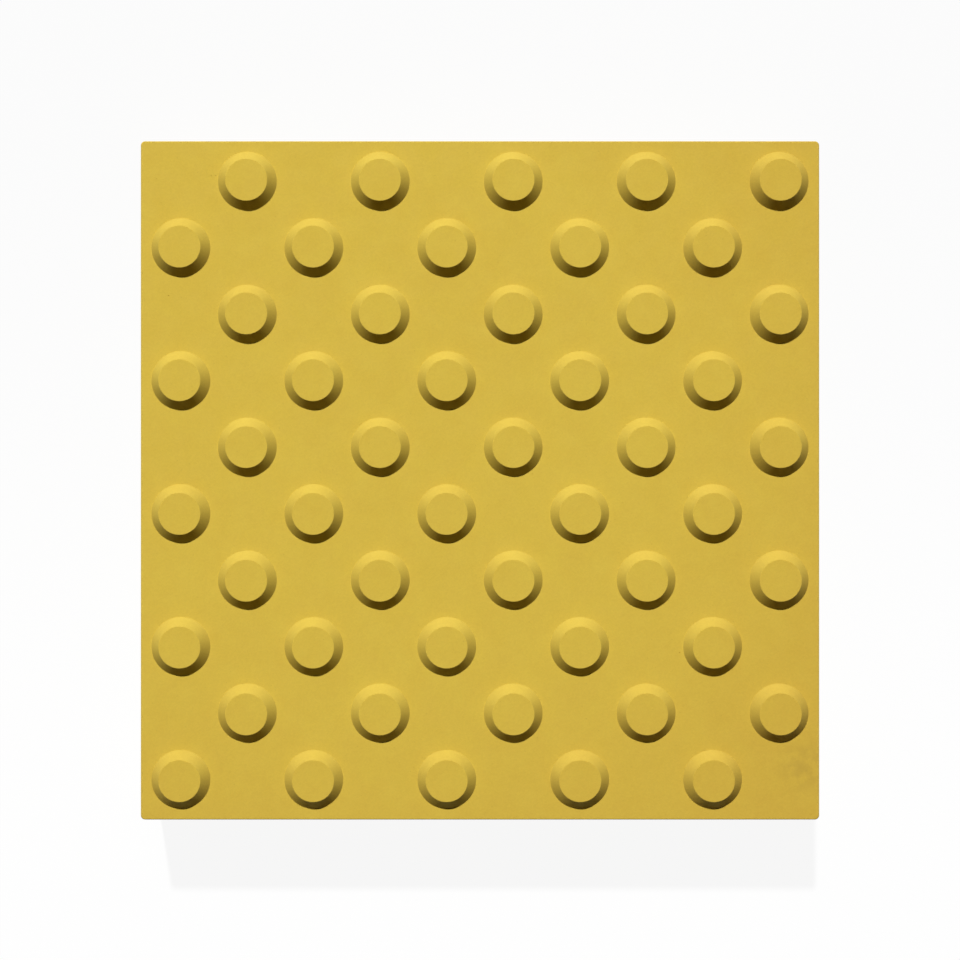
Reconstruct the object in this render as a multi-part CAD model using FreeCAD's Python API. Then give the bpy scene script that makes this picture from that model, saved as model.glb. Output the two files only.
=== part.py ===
import FreeCAD, Part

import math
import os

# Tactile paving slab: a square slab of through-coloured concrete, cast face down in a smooth
# mould as one piece. Its walking face carries a diagonal field of flat-topped conical studs.
# The bed, the side that was open in the mould, lies on z = 0, centred on the origin. +Z is up.

# Driving dimensions, in millimetres and degrees
BED_SIDE = 400.0  # side of the square bed, the slab's widest outline
BODY_THICKNESS = 50.0  # bed to walking face, without the studs
SIDE_DRAFT = 1.0  # lean of the four sides, which lets the slab leave its mould
CORNER_RADIUS = 2.5  # rounding of the four upright corners
ARRIS_RADIUS = 0.6  # rounding of the edge between walking face and sides
STUD_HEIGHT = 5.0  # rise of a stud's flat top above the walking face
STUD_BASE_DIAMETER = 34.5  # where the stud's flank meets the walking face
STUD_TOP_DIAMETER = 24.5  # where the flank meets the flat top
STUD_ROW_PITCH = 39.0  # between rows; studs in one row stand two pitches apart

# Sizes that follow from them
side_set_in = BODY_THICKNESS * math.tan(math.radians(SIDE_DRAFT))
face_side = BED_SIDE - 2 * side_set_in
face_flat_side = face_side - 2 * ARRIS_RADIUS


def edges_where(shape, wanted):
    """The edges of a shape whose lowest and highest z pass the test."""
    return [edge for edge in shape.Edges if wanted(edge.BoundBox.ZMin, edge.BoundBox.ZMax)]


def slab_body():
    """The plain slab: a low truncated pyramid with rounded corners and a rounded face edge."""
    bed_half = BED_SIDE / 2
    face_half = face_side / 2
    # The wedge tapers along +Y, so it is built lying down and then stood on its bed.
    body = Part.makeWedge(
        -bed_half, 0, -bed_half, -face_half, -face_half,
        bed_half, BODY_THICKNESS, bed_half, face_half, face_half,
    )
    body.rotate(FreeCAD.Vector(), FreeCAD.Vector(1, 0, 0), 90)
    half_thickness = BODY_THICKNESS / 2
    uprights = edges_where(body, lambda low, high: low < half_thickness < high)
    body = body.makeFillet(CORNER_RADIUS, uprights)
    arrises = edges_where(body, lambda low, high: low > half_thickness)
    return body.makeFillet(ARRIS_RADIUS, arrises)


def stud_places():
    """Feet of the studs on the walking face: every second cell of a grid, as on a draughtboard.

    The grid is centred on the face and has as many rows as stand whole on its flat.
    """
    rows = int((face_flat_side - STUD_BASE_DIAMETER) // STUD_ROW_PITCH) + 1
    middle = (rows - 1) / 2
    return [
        FreeCAD.Vector((i - middle) * STUD_ROW_PITCH, (j - middle) * STUD_ROW_PITCH, BODY_THICKNESS)
        for j in range(rows)
        for i in range(rows)
        if (i + j) % 2 == 0
    ]


def tactile_slab():
    """The whole casting: the slab and its studs, one solid."""
    pattern_stud = Part.makeCone(STUD_BASE_DIAMETER / 2, STUD_TOP_DIAMETER / 2, STUD_HEIGHT)
    studs = [pattern_stud.translated(place) for place in stud_places()]
    return slab_body().multiFuse(studs).removeSplitter()


os.makedirs("parts", exist_ok=True)
slab = tactile_slab()
slab.exportStep("parts/tactile_slab.step")
print(
    "tactile_slab:", len(slab.Solids), "solid,", len(slab.Faces), "faces, valid", slab.isValid(),
    "volume %.1f cm3" % (slab.Volume / 1000), "box", slab.optimalBoundingBox(),
)
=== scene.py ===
import math

import bpy
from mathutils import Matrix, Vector


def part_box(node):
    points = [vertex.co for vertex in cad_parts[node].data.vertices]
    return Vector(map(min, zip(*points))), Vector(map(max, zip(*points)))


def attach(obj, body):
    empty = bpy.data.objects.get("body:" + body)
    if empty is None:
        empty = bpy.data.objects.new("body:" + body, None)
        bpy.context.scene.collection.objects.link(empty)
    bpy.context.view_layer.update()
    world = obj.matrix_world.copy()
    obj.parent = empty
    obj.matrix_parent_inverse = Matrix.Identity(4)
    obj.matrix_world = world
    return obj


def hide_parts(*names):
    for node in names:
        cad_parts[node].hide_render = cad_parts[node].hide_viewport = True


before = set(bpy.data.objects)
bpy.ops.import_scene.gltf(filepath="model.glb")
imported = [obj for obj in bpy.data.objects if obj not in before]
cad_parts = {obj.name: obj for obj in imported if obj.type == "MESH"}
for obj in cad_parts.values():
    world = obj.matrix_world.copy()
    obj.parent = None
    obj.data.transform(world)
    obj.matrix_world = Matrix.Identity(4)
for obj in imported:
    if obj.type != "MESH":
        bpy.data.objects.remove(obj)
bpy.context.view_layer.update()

# The slab: one block of through-coloured yellow concrete, cast face down in a smooth mould.
# Face, studs and sides copy the mould, with small air holes where bubbles lay against it.
# The bed was the open side of the mould and was struck off level, so it is rough.

MM = 0.001
slab_low, slab_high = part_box("tactile_slab")
stud_height = 5.0 * MM
stud_foot_radius = 17.25 * MM
collar_width = 0.5 * MM  # flat ring round the foot that is made with the stud
face_height = slab_high.z - stud_height
bed_half = (slab_high.x - slab_low.x) / 2
side_draft = math.radians(1.0)
draft_run = face_height * math.tan(side_draft)  # how far the bed stands out past the face
slab_sizes = {
    "Face Half": bed_half - draft_run,
    "Face Height": face_height,
    "Draft Run": draft_run,
    "Corner Radius": 2.5 * MM,
    "Corner Steps": 6,
    "Arris Radius": 0.6 * MM,
    "Bed Edge Radius": 0.8 * MM,
    "Bend Steps": 4,
    "Face Lip": 0.4 * MM,  # strip of the face that is made with the sides
    "Bed Lip": 2.6 * MM,  # strip of the bed that is made with them
    "Skin Step": 12.0 * MM,  # longest face of a skin
    "Stud Height": stud_height,
    "Stud Foot Radius": stud_foot_radius,
    "Stud Top Radius": 12.25 * MM,
    "Stud Rim Rounding": 0.6 * MM,
    "Stud Foot Rounding": 0.5 * MM,
    "Stud Collar Radius": stud_foot_radius + collar_width,
    "Stud Weld Gap": 0.002 * MM,
    "Round Steps": 64,  # straight steps in a full circle
    "Row Pitch": 39.0 * MM,
    "Row Count": 10,
    "Bed Grid Points": 128,
    "Bed Coarse Depth": 0.6 * MM,
    "Bed Coarse Size": 15.0 * MM,
    "Bed Fine Depth": 0.5 * MM,
    "Bed Fine Size": 5.0 * MM,
    "Bed Finer Steps": 2.0,  # patterns inside a pattern, each half the size of the one before
    "Bed Fade Start": 0.1 * MM,
    "Bed Fade Width": 9.0 * MM,  # the bed's edge is smoother than its middle
    "Block Weld Gap": 0.005 * MM,
    "Air Hole Seed": 7,
    "Face Hole Density": 260.0,  # to a square metre
    "Side Hole Density": 3600.0,  # by the bed, where the air rose to
    "Side Hole Change": -0.6,  # from the bed to the face
    "Face Hole Radius": 0.3 * MM,  # the largest
    "Side Hole Radius": 1.6 * MM,
    "Smallest Hole": 0.16 * MM,
    "Hole Size Power": 2.5,  # the higher, the fewer large ones
    "Hole Spacing": 3.5 * MM,
    "Hole Flatness": 0.8,  # half depth of a bubble over its radius
    "Hole Sink": 0.35,  # how far a bubble's middle lies under the skin, over its half depth
    "Bubble Divisions": 2,
    "Hole Weld Gap": 0.008 * MM,
    "Face Band": 0.98,  # share of the face's height above which holes are the face's own
    "Level Limit": 0.5,  # what faces up or down by more than this is no side
    "Sharp Angle": math.radians(32.0),
}
# Air holes that show on the walking face: right of the middle, above it, radius, in millimetres
seen_air_holes = [
    (-182.8, 108.3, 0.36),
    (117.2, -101.1, 0.40),
    (-80.3, -181.7, 0.26),
    (-38.8, -168.6, 0.28),
    (-155.0, 178.9, 0.26),
    (-189.8, 177.0, 0.24),
    (-186.9, 162.9, 0.22),
    (10.6, 128.0, 0.24),
    (-76.1, -124.5, 0.24),
]

casting = bpy.data.node_groups.new("cast_slab", "GeometryNodeTree")
casting.interface.new_socket(name="Geometry", in_out="OUTPUT", socket_type="NodeSocketGeometry")
casting.interface.new_socket(name="Seen Holes", in_out="INPUT", socket_type="NodeSocketGeometry")
slab_inputs = {}
for name, value in slab_sizes.items():
    kind = "NodeSocketInt" if isinstance(value, int) else "NodeSocketFloat"
    slab_inputs[name] = casting.interface.new_socket(name=name, in_out="INPUT", socket_type=kind)
given = casting.nodes.new("NodeGroupInput").outputs


def add(tree, kind, sockets=None, **settings):
    """A new node; sockets gives its inputs, by name or number, a value or another node's output."""
    made = tree.nodes.new(kind)
    for setting, value in settings.items():
        setattr(made, setting, value)
    for socket, value in (sockets or {}).items():
        if isinstance(value, bpy.types.NodeSocket):
            tree.links.new(value, made.inputs[socket])
        else:
            made.inputs[socket].default_value = value
    return made


def shape(kind, sockets=None, **settings):
    """The first output of a new geometry node of the casting."""
    return add(casting, "GeometryNode" + kind, sockets, **settings).outputs[0]


def reckon(operation, *values, tree=casting):
    """The result of one sum on numbers or other nodes' outputs."""
    return add(tree, "ShaderNodeMath", dict(enumerate(values)), operation=operation).outputs[0]


def minus(value):
    """A length the other way."""
    return reckon("MULTIPLY", value, -1.0)


def point(x=0.0, y=0.0, z=0.0):
    """A place made of three lengths."""
    return add(casting, "ShaderNodeCombineXYZ", {"X": x, "Y": y, "Z": z}).outputs[0]


def parts(vector):
    """The three lengths of a place."""
    return add(casting, "ShaderNodeSeparateXYZ", {0: vector}).outputs


def joined(*meshes):
    """Several meshes or curves as one."""
    together = casting.nodes.new("GeometryNodeJoinGeometry")
    for mesh in meshes:
        casting.links.new(mesh, together.inputs[0])
    return together.outputs[0]


def moved_up(mesh, height):
    """A mesh raised by a height."""
    return shape("Transform", {0: mesh, "Translation": point(z=height)})


def divided(curve):
    """A curve with its long straight stretches cut into steps."""
    start = shape("InputPosition")
    next_point = add(casting, "GeometryNodeOffsetPointInCurve", {"Offset": 1}).outputs["Point Index"]
    sockets = {"Index": next_point, "Value": start}
    end = shape("FieldAtIndex", sockets, data_type="FLOAT_VECTOR", domain="POINT")
    length = add(casting, "ShaderNodeVectorMath", {0: start, 1: end}, operation="DISTANCE")
    cuts = reckon("DIVIDE", length.outputs["Value"], given["Skin Step"])
    return shape("SubdivideCurve", {"Curve": curve, "Cuts": cuts})


def swept(path, corners, first_rounding, second_rounding):
    """A skin: an open section of four corners, its two bends rounded, led round a path.

    A corner is given as how far it stands out from the path and how far it lies below it.
    """
    corner_points = {f"Point {k + 1}": point(out, drop) for k, (out, drop) in enumerate(corners)}
    ring = shape("CurvePrimitiveQuadrilateral", corner_points, mode="POINTS")
    line = shape("SetSplineCyclic", {0: ring, "Cyclic": False})
    bend = reckon("SUBTRACT", shape("InputIndex"), 1.0)
    change = reckon("SUBTRACT", second_rounding, first_rounding)
    radius = reckon("MULTIPLY_ADD", bend, change, first_rounding)
    sockets = {"Curve": line, "Count": given["Bend Steps"], "Radius": radius}
    section = shape("FilletCurve", sockets, mode="POLY")
    return shape("CurveToMesh", {"Curve": path, "Profile Curve": divided(section)})


# Studs stand on every second point of a square grid, as on a draughtboard.
collar = shape(
    "CurvePrimitiveCircle",
    {"Resolution": given["Round Steps"], "Radius": given["Stud Collar Radius"]},
)
stud_top = minus(given["Stud Height"])
stud_skin = swept(
    collar,
    [
        (minus(given["Stud Collar Radius"]), stud_top),
        (reckon("SUBTRACT", given["Stud Top Radius"], given["Stud Collar Radius"]), stud_top),
        (reckon("SUBTRACT", given["Stud Foot Radius"], given["Stud Collar Radius"]), 0.0),
        (0.0, 0.0),
    ],
    given["Stud Rim Rounding"], given["Stud Foot Rounding"],
)
stud = shape("MergeByDistance", {0: stud_skin, "Distance": given["Stud Weld Gap"]})
field_side = reckon("MULTIPLY", given["Row Pitch"], reckon("SUBTRACT", given["Row Count"], 1.0))
field_points = shape(
    "MeshGrid",
    {"Size X": field_side, "Size Y": field_side,
     "Vertices X": given["Row Count"], "Vertices Y": given["Row Count"]},
)
number = shape("InputIndex")
row = reckon("FLOOR", reckon("DIVIDE", reckon("ADD", number, 0.5), given["Row Count"]))
column = reckon("MODULO", number, given["Row Count"])
stands = reckon("LESS_THAN", reckon("MODULO", reckon("ADD", row, column), 2.0), 0.5)


def at_stud_places(mesh):
    """A copy of a mesh or curve at each stud's place."""
    copies = shape(
        "InstanceOnPoints", {"Points": field_points, "Selection": stands, "Instance": mesh}
    )
    return shape("RealizeInstances", {0: copies})


# The walking face is flat between the studs' collars, out to a strip inside the arris.
flat_inset = reckon("ADD", given["Arris Radius"], given["Face Lip"])
flat_side = reckon("MULTIPLY", reckon("SUBTRACT", given["Face Half"], flat_inset), 2.0)
flat_square = shape("CurvePrimitiveQuadrilateral", {"Width": flat_side, "Height": flat_side})
flat_corner = reckon("SUBTRACT", given["Corner Radius"], flat_inset)
flat_rounded = shape(
    "FilletCurve",
    {"Curve": flat_square, "Count": given["Corner Steps"], "Radius": flat_corner},
    mode="POLY",
)
flat_outline = divided(flat_rounded)
plain_face = shape("FillCurve", {"Curve": joined(flat_outline, at_stud_places(collar))})

# Arris, leaning sides and the edge of the bed are one skin led round the face.
bed_out = reckon("ADD", flat_inset, given["Draft Run"])
sides = swept(
    flat_outline,
    [
        (0.0, 0.0),
        (flat_inset, 0.0),
        (bed_out, given["Face Height"]),
        (reckon("SUBTRACT", bed_out, given["Bed Lip"]), given["Face Height"]),
    ],
    given["Arris Radius"], given["Bed Edge Radius"],
)

# The bed: a grid of shallow dents, none of them lower than the edge that the slab stands on.
bed_drop = minus(given["Face Height"])
bed_side = reckon("SUBTRACT", flat_side, given["Bed Lip"])
bed_grid = moved_up(
    shape(
        "MeshGrid",
        {"Size X": bed_side, "Size Y": bed_side,
         "Vertices X": given["Bed Grid Points"], "Vertices Y": given["Bed Grid Points"]},
    ),
    bed_drop,
)
place = shape("InputPosition")


def dents(size, depth):
    """Shallow dents of about that size, up to that depth."""
    sockets = {"Vector": place, "Scale": reckon("DIVIDE", 1.0, size), "Detail": given["Bed Finer Steps"]}
    uneven = add(casting, "ShaderNodeTexNoise", sockets).outputs[0]
    return reckon("MULTIPLY", uneven, depth)


def ramp(tree, value, limits, results):
    """A smooth change from the first result to the second, as a value goes from limit to limit."""
    sockets = {"Value": value, "From Min": limits[0], "From Max": limits[1],
               "To Min": results[0], "To Max": results[1]}
    return add(tree, "ShaderNodeMapRange", sockets, interpolation_type="SMOOTHSTEP").outputs[0]


off_middle = parts(add(casting, "ShaderNodeVectorMath", {0: place}, operation="ABSOLUTE").outputs[0])
from_edge = reckon(
    "SUBTRACT", reckon("MULTIPLY", bed_side, 0.5),
    reckon("MAXIMUM", off_middle["X"], off_middle["Y"]),
)
fade = ramp(casting, from_edge, (given["Bed Fade Start"], given["Bed Fade Width"]), (0.0, 1.0))
dent = reckon(
    "MULTIPLY", fade,
    reckon(
        "ADD", dents(given["Bed Coarse Size"], given["Bed Coarse Depth"]),
        dents(given["Bed Fine Size"], given["Bed Fine Depth"]),
    ),
)
dented_bed = shape("SetPosition", {0: bed_grid, "Offset": point(z=dent)})


def open_edges(mesh):
    """The open edges of a mesh, as a curve."""
    single = reckon("LESS_THAN", shape("InputMeshEdgeNeighbors"), 1.5)
    return shape("MeshToCurve", {"Mesh": mesh, "Selection": single})


half_way_down = reckon("MULTIPLY", bed_drop, 0.5)
edge_of_face = reckon("GREATER_THAN", parts(place)["Z"], half_way_down)
edge_of_bed = shape("DeleteGeometry", {0: open_edges(sides), "Selection": edge_of_face}, domain="CURVE")
bed_border = moved_up(
    shape("FillCurve", {"Curve": joined(edge_of_bed, open_edges(bed_grid))}), bed_drop
)
bed = shape("FlipFaces", {0: joined(dented_bed, bed_border)})

# Everything is welded into one closed block, which stands on its bed.
welded = shape(
    "MergeByDistance",
    {0: joined(at_stud_places(stud), plain_face, sides, bed), "Distance": given["Block Weld Gap"]},
)
block = moved_up(welded, given["Face Height"])

# Air holes are bubbles cut out of the moulded faces: few on the face, more and larger on the sides.
facing_up = parts(shape("InputNormal"))["Z"]
facing_down_limit = minus(given["Level Limit"])
moulded = reckon("GREATER_THAN", facing_up, facing_down_limit)
on_side = reckon("LESS_THAN", facing_up, given["Level Limit"])
share_of_height = reckon("DIVIDE", parts(place)["Z"], given["Face Height"])
fewer_higher = reckon("MULTIPLY_ADD", share_of_height, given["Side Hole Change"], 1.0)
side_share = reckon("MULTIPLY", on_side, fewer_higher)
face_share = reckon("DIVIDE", given["Face Hole Density"], given["Side Hole Density"])
scatter = add(
    casting, "GeometryNodeDistributePointsOnFaces",
    {"Mesh": block, "Selection": moulded, "Distance Min": given["Hole Spacing"],
     "Density Max": given["Side Hole Density"],
     "Density Factor": reckon("MAXIMUM", face_share, side_share),
     "Seed": given["Air Hole Seed"]},
    distribute_method="POISSON",
).outputs
chance = add(casting, "FunctionNodeRandomValue", {"Seed": given["Air Hole Seed"]}).outputs[1]
mostly_small = reckon("POWER", chance, given["Hole Size Power"])
face_band = reckon("MULTIPLY", given["Face Height"], given["Face Band"])
largest = add(
    casting, "ShaderNodeMix",
    {"Factor": reckon("GREATER_THAN", parts(place)["Z"], face_band),
     "A": given["Side Hole Radius"], "B": given["Face Hole Radius"]},
).outputs[0]
spread = reckon("SUBTRACT", largest, given["Smallest Hole"])
scattered_radius = reckon("MULTIPLY_ADD", mostly_small, spread, given["Smallest Hole"])
seen_radius = shape("InputNamedAttribute", {"Name": "radius"})
ball = moved_up(
    shape("MeshIcoSphere", {"Radius": 1.0, "Subdivisions": given["Bubble Divisions"]}),
    minus(given["Hole Sink"]),
)


def bubbles(radius, sockets):
    """Flattened balls sunk a little under the skin, one at each point."""
    half_depth = reckon("MULTIPLY", radius, given["Hole Flatness"])
    return shape(
        "InstanceOnPoints", {"Instance": ball, "Scale": point(radius, radius, half_depth), **sockets}
    )


all_bubbles = joined(
    bubbles(scattered_radius, {"Points": scatter["Points"], "Rotation": scatter["Rotation"]}),
    bubbles(seen_radius, {"Points": given["Seen Holes"]}),
)
cut = shape(
    "MeshBoolean",
    {"Mesh 1": block, "Mesh 2": shape("RealizeInstances", {0: all_bubbles})},
    operation="DIFFERENCE", solver="MANIFOLD",
)
pitted = shape("MergeByDistance", {0: cut, "Distance": given["Hole Weld Gap"]})

# Rounded bends shade smoothly, and the rims of the air holes stay sharp.
smooth = shape("SetShadeSmooth", {0: pitted})
sharp = reckon("GREATER_THAN", shape("InputMeshEdgeAngle"), given["Sharp Angle"])
edged = shape(
    "SetShadeSmooth", {0: smooth, "Selection": sharp, "Shade Smooth": False}, domain="EDGE"
)

# Concrete as the mould left it: yellow whose tone wanders at random between lemon and tan, with a sandy
# skin and pinpricks painted dark inside as painted shade. Away from a spot left of and above the middle
# the yellow turns tan as a painted falloff of light. The studs' flanks are painted darker, as painted
# shade. The sides are rougher, with drag marks from leaving the mould and a pale bloom low down.
# One smudge of dirt lies by a corner of the face.
side_to_flat = (0.25, 0.50)  # how far a surface faces up, from upright sides to flanks and face
side_to_flank = (0.30, 0.50)
flank_to_face = (0.85, 0.97)
lemon_yellow = (0.6625, 0.4755, 0.0580, 1.0)
tan_yellow = (0.5927, 0.3816, 0.0466, 1.0)
# Painted falloff of light: lemon round this middle, turning tan from the first reach out to the second.
painted_light_middle = (-66.0 * MM, 45.0 * MM, face_height)
painted_light_reach = 143.0 * MM
painted_falloff_end = 450.0 * MM
least_tan = 0.15
cloud_size = 32.0 * MM
cloud_finer_steps = 6.0
cloud_evenness = 0.95  # strength of a finer step over the one before
cloud_change = 1.2
# Painted shade: the studs' flanks are darkened by this.
flank_painted_shade = (0.855, 0.88, 1.0, 1.0)
sand_size = 0.8 * MM
face_sand_change = 0.05
side_sand_change = 0.07
drag_mark_width = 1.6 * MM
drag_mark_stretch = 0.06
drag_mark_finer_steps = 2.0
drag_mark_limits = (0.25, 0.75)
drag_mark_change = 0.05
pinprick_cell = 2.4 * MM
pinprick_share = 0.3  # cells with a pinprick in them
pinprick_radius = 0.2  # the largest, in cells
pinprick_edge = 0.08
# Painted shade in the pinpricks' hollows.
pinprick_shade_colour = (0.30, 0.19, 0.03, 1.0)
face_pinprick_strength = 0.16
side_pinprick_strength = 1.0
bloom_colour = (0.70, 0.56, 0.22, 1.0)
bloom_share = 0.22
bloom_patch_size = 18.0 * MM
bloom_finer_steps = 5.0
bloom_limits = (0.40, 0.66)
bloom_heights = (4.0 * MM, 34.0 * MM)  # where it is fullest, and where it ends
smudge_colour = (0.36, 0.23, 0.040, 1.0)
smudge_share = 0.30
smudge_place = (190.5 * MM, -168.0 * MM, face_height)
smudge_reach = 22.0 * MM
smudge_patch_size = 8.0 * MM
smudge_limits = (0.38, 0.60)
thinnest_smudge = 0.15
roughness_patch_size = 12.0 * MM
roughness_limits = (0.30, 0.70)
roughness_range = (0.80, 0.92)
specular_level = 0.25
skin_grain_size = 0.7 * MM
skin_relief = 0.02 * MM
pinprick_relief = 0.12 * MM

moulded_concrete = bpy.data.materials.new("moulded_concrete")
moulded_concrete.use_nodes = True
skin = moulded_concrete.node_tree
skin.nodes.clear()


def patches(tree, size, where=None, finer_steps=3.0, evenness=0.5):
    """Uneven patches between 0 and 1, about so far apart, with finer ones in them."""
    sockets = {"Scale": 1.0 / size, "Detail": finer_steps, "Roughness": evenness}
    sockets["Vector"] = where or add(tree, "ShaderNodeTexCoord").outputs["Object"]
    return add(tree, "ShaderNodeTexNoise", sockets).outputs[0]


def grains(tree, size):
    """Cells of about one size: how far a spot lies from its grain's middle, and the grain's luck."""
    spot = add(tree, "ShaderNodeTexCoord").outputs["Object"]
    cells = add(tree, "ShaderNodeTexVoronoi", {"Vector": spot, "Scale": 1.0 / size}).outputs
    return cells["Distance"], add(tree, "ShaderNodeSeparateColor", {0: cells["Color"]}).outputs[0]


def times(tree, *values):
    """The product of several values."""
    product = values[0]
    for value in values[1:]:
        product = reckon("MULTIPLY", product, value, tree=tree)
    return product


def coloured(tree, share, under, over, way="MIX"):
    """A colour with a share of another over it."""
    sockets = {"Factor": share, 6: under, 7: over}
    return add(tree, "ShaderNodeMix", sockets, data_type="RGBA", blend_type=way).outputs[2]


def swing(tree, value, reach):
    """One, give or take half the reach, as a value goes from 0 to 1."""
    return reckon("MULTIPLY_ADD", reckon("SUBTRACT", value, 0.5, tree=tree), reach, 1.0, tree=tree)


def relief(tree, height, depth, under=None):
    """The surface's direction, bent by a height pattern of that depth."""
    sockets = {"Height": height, "Distance": depth}
    if under:
        sockets["Normal"] = under
    return add(tree, "ShaderNodeBump", sockets).outputs[0]


surface = add(skin, "ShaderNodeTexCoord").outputs
here = surface["Object"]
facing = add(skin, "ShaderNodeSeparateXYZ", {0: surface["Normal"]}).outputs["Z"]
on_sides = ramp(skin, facing, side_to_flat, (1.0, 0.0))
on_flanks = times(
    skin, ramp(skin, facing, side_to_flank, (0.0, 1.0)), ramp(skin, facing, flank_to_face, (1.0, 0.0))
)


def from_place(spot):
    """How far a point of the moulded concrete lies from a spot."""
    sockets = {0: here, 1: spot}
    return add(skin, "ShaderNodeVectorMath", sockets, operation="DISTANCE").outputs["Value"]


def face_to_sides(on_the_face, on_the_sides):
    """A value that changes from the face to the sides."""
    return ramp(skin, on_sides, (0.0, 1.0), (on_the_face, on_the_sides))


# Painted falloff of light, mixed with tone patches that wander at random.
painted_falloff = ramp(skin, from_place(painted_light_middle), (painted_light_reach, painted_falloff_end), (least_tan, 1.0))
cloud = patches(skin, cloud_size, here, cloud_finer_steps, cloud_evenness)
cloud_shift = times(skin, reckon("SUBTRACT", cloud, 0.5, tree=skin), cloud_change)
cloud_and_painted_falloff = reckon("ADD", painted_falloff, cloud_shift, tree=skin)
tone = coloured(skin, cloud_and_painted_falloff, lemon_yellow, tan_yellow)
# Painted shade on the studs' flanks.
flank_shaded = coloured(skin, on_flanks, tone, flank_painted_shade, "MULTIPLY")

sand_luck = grains(skin, sand_size)[1]
sand = swing(skin, sand_luck, face_to_sides(face_sand_change, side_sand_change))
upright = add(skin, "ShaderNodeMapping", {"Vector": here, "Scale": (1.0, 1.0, drag_mark_stretch)})
drag = patches(skin, drag_mark_width, upright.outputs[0], drag_mark_finer_steps)
drag_line = ramp(skin, drag, drag_mark_limits, (0.0, 1.0))
drag_tone = swing(skin, drag_line, times(skin, on_sides, drag_mark_change))
pigment = coloured(skin, 1.0, flank_shaded, times(skin, sand, drag_tone), "MULTIPLY")

pinprick_distance, pinprick_luck = grains(skin, pinprick_cell)
radius_here = ramp(skin, pinprick_luck, (1.0 - pinprick_share, 1.0), (0.0, pinprick_radius))
inside = reckon("SUBTRACT", radius_here, pinprick_distance, tree=skin)
strength_here = face_to_sides(face_pinprick_strength, side_pinprick_strength)
pinprick = times(skin, ramp(skin, inside, (0.0, pinprick_edge), (0.0, 1.0)), strength_here)
# The pinpricks are painted dark inside, as painted shade.
pinprick_shaded = coloured(skin, pinprick, pigment, pinprick_shade_colour)

height_here = add(skin, "ShaderNodeSeparateXYZ", {0: here}).outputs["Z"]
low_on_sides = times(skin, ramp(skin, height_here, bloom_heights, (bloom_share, 0.0)), on_sides)
bloom_spots = patches(skin, bloom_patch_size, here, bloom_finer_steps)
bloom = times(skin, ramp(skin, bloom_spots, bloom_limits, (0.0, 1.0)), low_on_sides)
bloomed = coloured(skin, bloom, pinprick_shaded, bloom_colour)

smudge_spots = patches(skin, smudge_patch_size, here)
smudge_middle = ramp(skin, from_place(smudge_place), (0.0, smudge_reach), (smudge_share, 0.0))
smudge = times(skin, smudge_middle, ramp(skin, smudge_spots, smudge_limits, (thinnest_smudge, 1.0)))
smudged = coloured(skin, smudge, bloomed, smudge_colour)

roughness_spots = patches(skin, roughness_patch_size, here)
skin_roughness = ramp(skin, roughness_spots, roughness_limits, roughness_range)
skin_grain = patches(skin, skin_grain_size, here)
skin_height = reckon("ADD", times(skin, drag, on_sides), skin_grain, tree=skin)
sunk = reckon("SUBTRACT", 1.0, pinprick, tree=skin)
skin_shader = add(
    skin, "ShaderNodeBsdfPrincipled",
    {"Base Color": smudged, "Roughness": skin_roughness, "Specular IOR Level": specular_level,
     "Normal": relief(skin, sunk, pinprick_relief, relief(skin, skin_height, skin_relief))},
).outputs[0]
add(skin, "ShaderNodeOutputMaterial", {"Surface": skin_shader})

# Concrete of the bed: struck off with a board, so the grit lies open and the paste is grey with dust.
bed_yellow = (0.50, 0.36, 0.075, 1.0)
bed_grey = (0.40, 0.33, 0.13, 1.0)
grit_size = 3.0 * MM
grit_relief = 0.5 * MM
grit_crown = 0.5  # height that a grain loses from its middle to its edge
grit_limits = (0.2, 0.9)
yellowest_grit = 0.1
dust_finer_steps = 4.0
dust_limits = (0.3, 0.6)
thinnest_dust = 0.3
bed_roughness = 0.95

struck_concrete = bpy.data.materials.new("struck_concrete")
struck_concrete.use_nodes = True
rough = struck_concrete.node_tree
rough.nodes.clear()
grit_distance, grit_luck = grains(rough, grit_size)
dust = patches(rough, grit_size, finer_steps=dust_finer_steps)
grey_share = times(
    rough, ramp(rough, grit_luck, grit_limits, (yellowest_grit, 1.0)),
    ramp(rough, dust, dust_limits, (thinnest_dust, 1.0)),
)
grit_height = reckon("SUBTRACT", dust, times(rough, grit_distance, grit_crown), tree=rough)
bed_shader = add(
    rough, "ShaderNodeBsdfPrincipled",
    {"Base Color": coloured(rough, grey_share, bed_yellow, bed_grey), "Roughness": bed_roughness,
     "Specular IOR Level": specular_level, "Normal": relief(rough, grit_height, grit_relief)},
).outputs[0]
add(rough, "ShaderNodeOutputMaterial", {"Surface": bed_shader})

plain_mesh = shape("RealizeInstances", {0: edged})
skinned = shape("SetMaterial", {0: plain_mesh, "Material": moulded_concrete})
at_bed = reckon("LESS_THAN", parts(place)["Z"], given["Bed Lip"])
on_bed = reckon("MULTIPLY", at_bed, reckon("LESS_THAN", facing_up, facing_down_limit))
cast = shape("SetMaterial", {0: skinned, "Selection": on_bed, "Material": struck_concrete})
add(casting, "NodeGroupOutput", {0: cast})

hole_points = bpy.data.meshes.new("seen_air_holes")
hole_points.from_pydata([(x * MM, y * MM, face_height) for x, y, radius in seen_air_holes], [], [])
hole_radii = hole_points.attributes.new("radius", "FLOAT", "POINT")
hole_radii.data.foreach_set("value", [radius * MM for x, y, radius in seen_air_holes])
slab = bpy.data.objects.new("cast_slab", hole_points)
bpy.context.scene.collection.objects.link(slab)
maker = slab.modifiers.new("cast_slab", "NODES")
maker.node_group = casting
for name, socket in slab_inputs.items():
    maker[socket.identifier] = slab_sizes[name]
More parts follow.
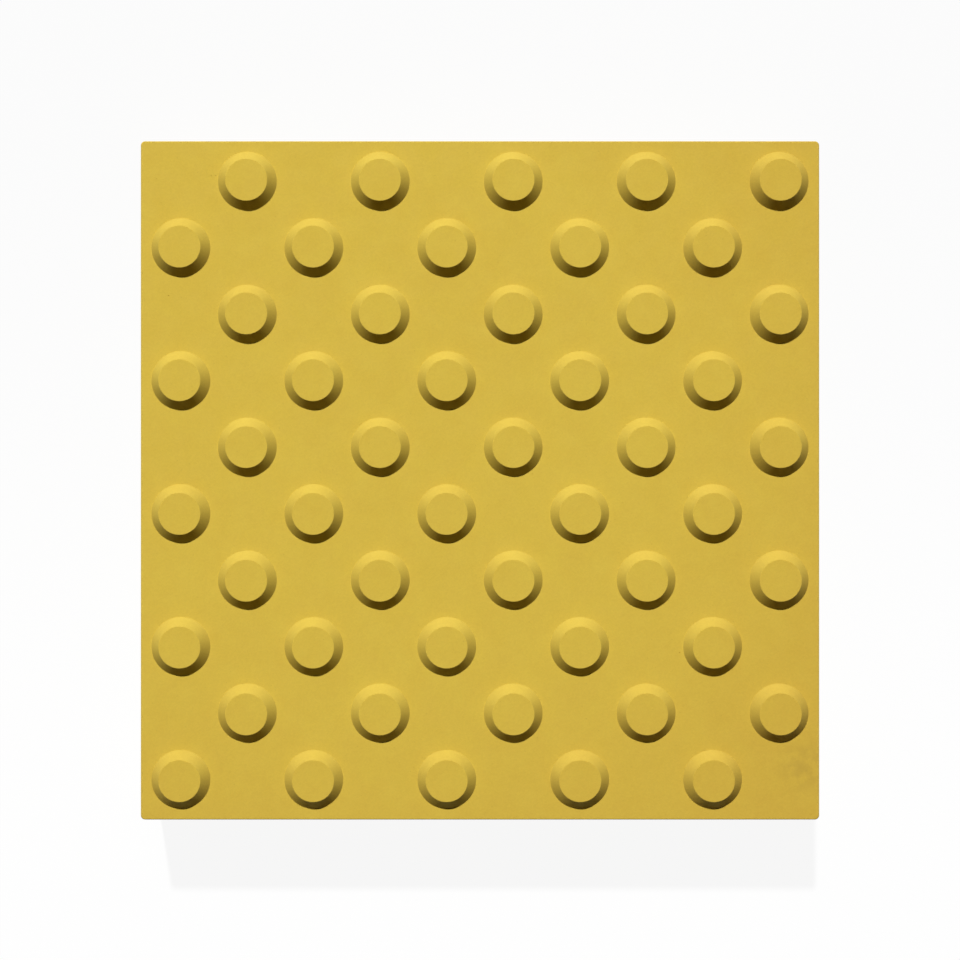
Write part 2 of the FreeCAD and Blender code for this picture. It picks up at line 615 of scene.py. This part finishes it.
# Shading follows the large faces, so that flanks and flats stay true up to their roundings.
even_shading = slab.modifiers.new("even_shading", "WEIGHTED_NORMAL")
even_shading.keep_sharp = True
even_shading.weight = 100
finished = slab.evaluated_get(bpy.context.evaluated_depsgraph_get())
finished_mesh = bpy.data.meshes.new_from_object(finished)
finished_mesh.name = "cast_slab"
slab.modifiers.clear()
slab.data = finished_mesh
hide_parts("tactile_slab")
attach(slab, "root")

# The floor: a pale matt sheet, level and far wider than the slab, which catches a faint shadow.
# To the camera it is nearly white by the slab and white far off, so that no horizon shows.
floor_half = 6.0
floor_drop = 0.2 * MM
front_floor_tone = 0.95  # it throws light back on the shaded front
back_floor_tone = 0.60  # the lit back needs less of that
floor_tone_reach = (-0.25, 0.25)  # where the change starts and ends, from front to back
near_white_share = 0.92  # the rest shows the shadow
white_reach = (0.4, 1.6)  # where it starts to whiten, and where it is white
floor_mesh = bpy.data.meshes.new("floor")
floor_mesh.from_pydata(
    [(x * floor_half, y * floor_half, -floor_drop) for x, y in ((-1, -1), (1, -1), (1, 1), (-1, 1))],
    [], [(0, 1, 2, 3)],
)
floor = bpy.data.objects.new("floor", floor_mesh)
bpy.context.scene.collection.objects.link(floor)


def seen_directly(tree):
    """One for rays from the camera, or seen in a gloss or through glass, and zero for light."""
    path = add(tree, "ShaderNodeLightPath").outputs
    seen = reckon("MAXIMUM", path["Is Camera Ray"], path["Is Glossy Ray"], tree=tree)
    return reckon("MAXIMUM", seen, path["Is Transmission Ray"], tree=tree)


floor_paint = bpy.data.materials.new("pale_floor")
floor_paint.use_nodes = True
floor_nodes = floor_paint.node_tree
floor_nodes.nodes.clear()
floor_place = add(floor_nodes, "ShaderNodeTexCoord").outputs["Object"]
towards_back = add(floor_nodes, "ShaderNodeSeparateXYZ", {0: floor_place}).outputs["Y"]
floor_tone = ramp(
    floor_nodes, towards_back, floor_tone_reach, (front_floor_tone, back_floor_tone)
)
floor_matt = add(floor_nodes, "ShaderNodeBsdfDiffuse", {"Color": floor_tone}).outputs[0]
floor_white = add(floor_nodes, "ShaderNodeEmission", {"Strength": 1.0}).outputs[0]
floor_distance = add(floor_nodes, "ShaderNodeVectorMath", {0: floor_place}, operation="LENGTH")
white_share = ramp(floor_nodes, floor_distance.outputs["Value"], white_reach, (near_white_share, 1.0))
floor_share = times(floor_nodes, seen_directly(floor_nodes), white_share)
floor_mix = add(floor_nodes, "ShaderNodeMixShader", {0: floor_share, 1: floor_matt, 2: floor_white})
add(floor_nodes, "ShaderNodeOutputMaterial", {"Surface": floor_mix.outputs[0]})
floor_mesh.materials.append(floor_paint)

# The light: one distant lamp beyond the top of the picture, a little to the left.
# The room round it is almost dark, and white to the camera.
lamp_distance = 24.0
lamp_size = 1.2
lamp_bearing = math.radians(98.7)  # from +X towards +Y
lamp_elevation = math.radians(42.5)
lamp_level = 0.965  # a white face lying level renders this bright
lamp_direction = Vector((
    math.cos(lamp_elevation) * math.cos(lamp_bearing),
    math.cos(lamp_elevation) * math.sin(lamp_bearing),
    math.sin(lamp_elevation),
))
lamp_light = bpy.data.lights.new("lamp", "AREA")
lamp_light.shape = "DISK"
lamp_light.size = lamp_size
lamp_light.energy = lamp_level * (math.pi * lamp_distance) ** 2 / math.sin(lamp_elevation)
lamp = bpy.data.objects.new("lamp", lamp_light)
lamp.location = Vector((0, 0, face_height)) + lamp_direction * lamp_distance
lamp.rotation_euler = lamp_direction.to_track_quat("Z", "Y").to_euler()
bpy.context.scene.collection.objects.link(lamp)

white = (1.0, 1.0, 1.0, 1.0)
room_level = 0.003
room = bpy.data.worlds.new("room")
room.use_nodes = True
room_nodes = room.node_tree
room_nodes.nodes.clear()
room_dim = add(room_nodes, "ShaderNodeBackground", {"Color": white, "Strength": room_level})
room_white = add(room_nodes, "ShaderNodeBackground", {"Color": white, "Strength": 1.0})
room_mix = add(
    room_nodes, "ShaderNodeMixShader",
    {0: seen_directly(room_nodes), 1: room_dim.outputs[0], 2: room_white.outputs[0]},
)
add(room_nodes, "ShaderNodeOutputWorld", {"Surface": room_mix.outputs[0]})
bpy.context.scene.world = room

# The camera looks straight down on the slab from a little under a metre above its face.
# Its picture is square, and about two fifths wider than the slab.
camera_above_face = 882.0 * MM
camera_off_middle = 0.23 * MM
picture_width_at_face = 563.36 * MM
camera_lens = bpy.data.cameras.new("camera")
camera_lens.sensor_width = 36.0
camera_lens.lens = camera_lens.sensor_width * camera_above_face / picture_width_at_face
camera = bpy.data.objects.new("camera", camera_lens)
camera.location = (0, camera_off_middle, face_height + camera_above_face)
bpy.context.scene.collection.objects.link(camera)
bpy.context.scene.camera = camera
bpy.context.scene.view_settings.view_transform = "Standard"
